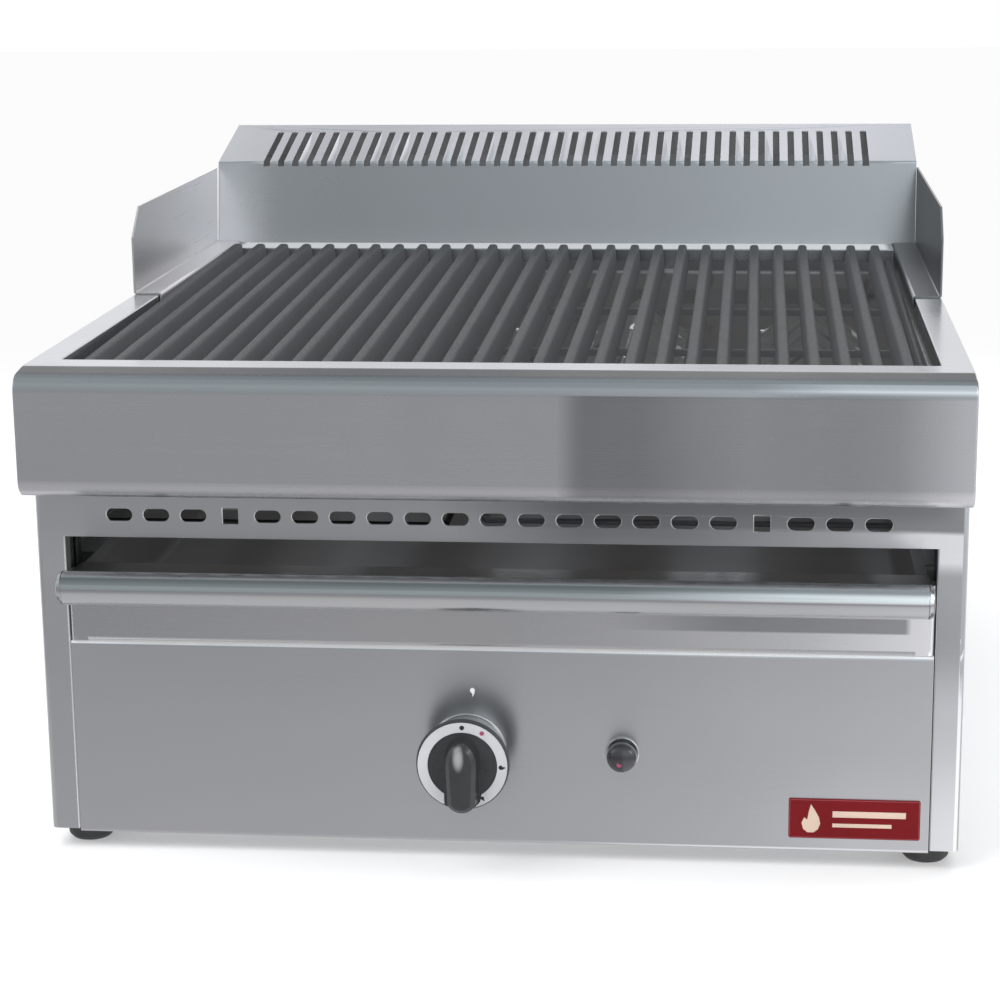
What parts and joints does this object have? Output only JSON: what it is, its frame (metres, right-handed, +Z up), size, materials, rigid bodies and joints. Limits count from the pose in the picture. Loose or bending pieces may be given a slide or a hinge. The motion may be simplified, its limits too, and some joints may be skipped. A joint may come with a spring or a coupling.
{
  "type": "countertop gas charbroiler",
  "caption": "Countertop gas charbroiler grill: stainless casing with bullnose apron, lift-out cast-iron grates, pull-out water drawer, slotted rear flue, valve knob and igniter button.",
  "frame": {"origin": "centre of the overall footprint on the plane under the rubber feet", "axes": "+Z up, +X to the operator's right, the operator stands at -Y; the flue and the gas inlet are at +Y"},
  "size_m": [0.6, 0.751, 0.4229],
  "materials": {
    "worktop_steel": "satin brushed",
    "hood_steel": "satin brushed",
    "guard_steel": "satin brushed",
    "casing_steel": "satin brushed",
    "panel_steel": "satin brushed",
    "drawer_steel": "satin brushed",
    "handle_steel": "fine satin, near polished",
    "tray_steel": "mill finish",
    "inner_steel": "heat-darkened mill finish",
    "galvanised": "galvanised sheet",
    "burner_steel": "heat-tinted stainless",
    "grate_iron": "rough seasoned casting",
    "knob_black": "fine satin moulding",
    "dial_silver": "silver-white printed ring",
    "button_black": "gloss moulding",
    "bezel_chrome": "polished",
    "badge_red": "gloss enamel",
    "foot_rubber": "moulded",
    "brass": "machined",
    "pipe_steel": "zinc passivated",
    "pilot_aluminium": "drawn tube",
    "copper_lead": "copper capillary",
    "electrode_ceramic": "unglazed",
    "lead_silicone": "silicone sleeve",
    "piezo_black": "moulded",
    "fastener_zinc": "zinc plated"
  },
  "bodies": {
    "casing": {"top_frame": "worktop_steel", "flue_hood": "hood_steel", "flue_baffle": "inner_steel", "left_splash_guard": "guard_steel", "right_splash_guard": "guard_steel", "front_frame": "casing_steel", "left_side_panel": "casing_steel", "right_side_panel": "casing_steel", "rear_panel": "galvanised", "base_panel": "galvanised", "control_panel": "panel_steel", "drawer_shelf": "galvanised", "feet": "foot_rubber", "foot_screws": "fastener_zinc", "casing_screws": "fastener_zinc", "badge": "badge_red", "firebox": "inner_steel", "front_grate_rest": "inner_steel", "rear_grate_rest": "inner_steel", "front_burner_rail": "inner_steel", "rear_burner_rail": "inner_steel", "gas_manifold": "pipe_steel", "injectors": "brass", "gas_valve": "brass", "manifold_feed_pipe": "pipe_steel", "gas_inlet_pipe": "pipe_steel", "gas_inlet_nipple": "brass", "pilot_burner": "fastener_zinc", "pilot_tube": "pilot_aluminium", "thermocouple": "copper_lead", "spark_electrode": "electrode_ceramic", "igniter_lead": "lead_silicone", "piezo_igniter": "piezo_black", "piezo_nut": "fastener_zinc", "knob_bezel": "bezel_chrome", "left_drawer_runner": "galvanised", "right_drawer_runner": "galvanised", "burner_1": "burner_steel", "deflector_1": "burner_steel", "burner_2": "burner_steel", "deflector_2": "burner_steel", "burner_3": "burner_steel", "deflector_3": "burner_steel", "burner_4": "burner_steel", "deflector_4": "burner_steel"},
    "drawer": {"water_tray": "tray_steel", "drawer_front": "drawer_steel", "handle_tube": "handle_steel", "handle_end_caps": "handle_steel", "handle_posts": "handle_steel", "handle_screws": "fastener_zinc"},
    "push_rod": {"valve_push_rod": "brass"},
    "knob": {"valve_spindle": "brass", "control_knob": "knob_black", "knob_dial_ring": "dial_silver"},
    "igniter_button": {"igniter_button": "button_black"},
    "grate_left": {"grate_left": "grate_iron"},
    "grate_centre": {"grate_centre": "grate_iron"},
    "grate_right": {"grate_right": "grate_iron"}
  },
  "joints": [
    {"name": "drawer_slide", "type": "slide", "parent": "casing", "child": "drawer", "axis": [0, -1, 0], "range_m": [0, 0.4]},
    {"name": "valve_push", "type": "slide", "parent": "casing", "child": "push_rod", "axis": [0, 1, 0], "range_m": [0, 0.0035], "stiffness_N_per_m": 1200},
    {"name": "knob_turn", "type": "hinge", "parent": "push_rod", "child": "knob", "pos_m": [-0.0185, -0.337, 0.076], "axis": [0, -1, 0], "range_deg": [0, 152]},
    {"name": "igniter_press", "type": "slide", "parent": "casing", "child": "igniter_button", "axis": [0, 1, 0], "range_m": [0, 0.005], "stiffness_N_per_m": 900},
    {"name": "grate_left_lift", "type": "slide", "parent": "casing", "child": "grate_left", "axis": [0, 0, 1], "range_m": [0, 0.25]},
    {"name": "grate_centre_lift", "type": "slide", "parent": "casing", "child": "grate_centre", "axis": [0, 0, 1], "range_m": [0, 0.25]},
    {"name": "grate_right_lift", "type": "slide", "parent": "casing", "child": "grate_right", "axis": [0, 0, 1], "range_m": [0, 0.25]}
  ]
}
